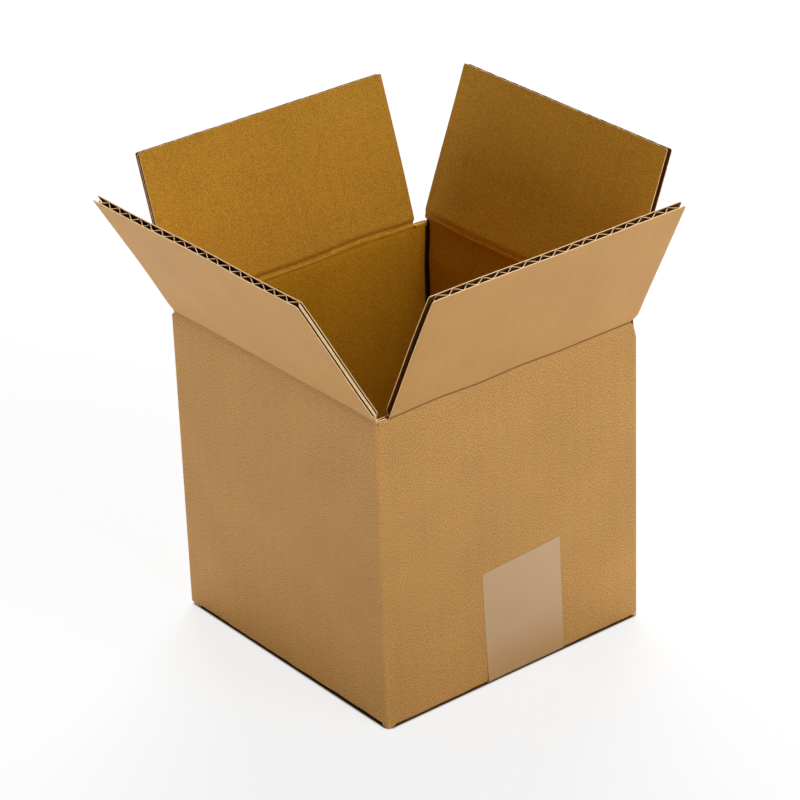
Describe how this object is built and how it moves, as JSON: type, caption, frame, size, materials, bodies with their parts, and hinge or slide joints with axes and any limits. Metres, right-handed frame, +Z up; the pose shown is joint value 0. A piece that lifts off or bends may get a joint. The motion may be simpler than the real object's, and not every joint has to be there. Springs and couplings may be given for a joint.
{
  "type": "open cardboard box",
  "caption": "Cube-shaped corrugated shipping carton, bottom folded shut and taped, with hinged top flaps that lean open outwards.",
  "frame": {"origin": "middle of the carton's underside, on the surface that it stands on", "axes": "+Z up; the taped front wall faces -Y; the left wall, with the upper flap and the glued joint, faces -X"},
  "size_m": [0.2272, 0.2184, 0.2418],
  "materials": {
    "kraft_board": "matte",
    "fluted_board": "matte",
    "seam_tape": "satin"
  },
  "bodies": {
    "carton": {"carton_body": "kraft_board", "seam_tape": "seam_tape"},
    "left_flap": {"flap_left": "fluted_board"},
    "right_flap": {"flap_right": "fluted_board"},
    "front_flap": {"flap_front": "fluted_board"},
    "back_flap": {"flap_back": "fluted_board"}
  },
  "joints": [
    {"name": "left_crease", "type": "hinge", "parent": "carton", "child": "left_flap", "pos_m": [-0.0797, 0, 0.16685], "axis": [0, -1, 0], "range_deg": [-120, 147]},
    {"name": "right_crease", "type": "hinge", "parent": "carton", "child": "right_flap", "pos_m": [0.0797, 0, 0.16685], "axis": [0, 1, 0], "range_deg": [-111, 156]},
    {"name": "front_crease", "type": "hinge", "parent": "carton", "child": "front_flap", "pos_m": [0, -0.0797, 0.16305], "axis": [1, 0, 0], "range_deg": [-116, 151]},
    {"name": "back_crease", "type": "hinge", "parent": "carton", "child": "back_flap", "pos_m": [0, 0.0797, 0.16305], "axis": [-1, 0, 0], "range_deg": [-108, 159]}
  ]
}
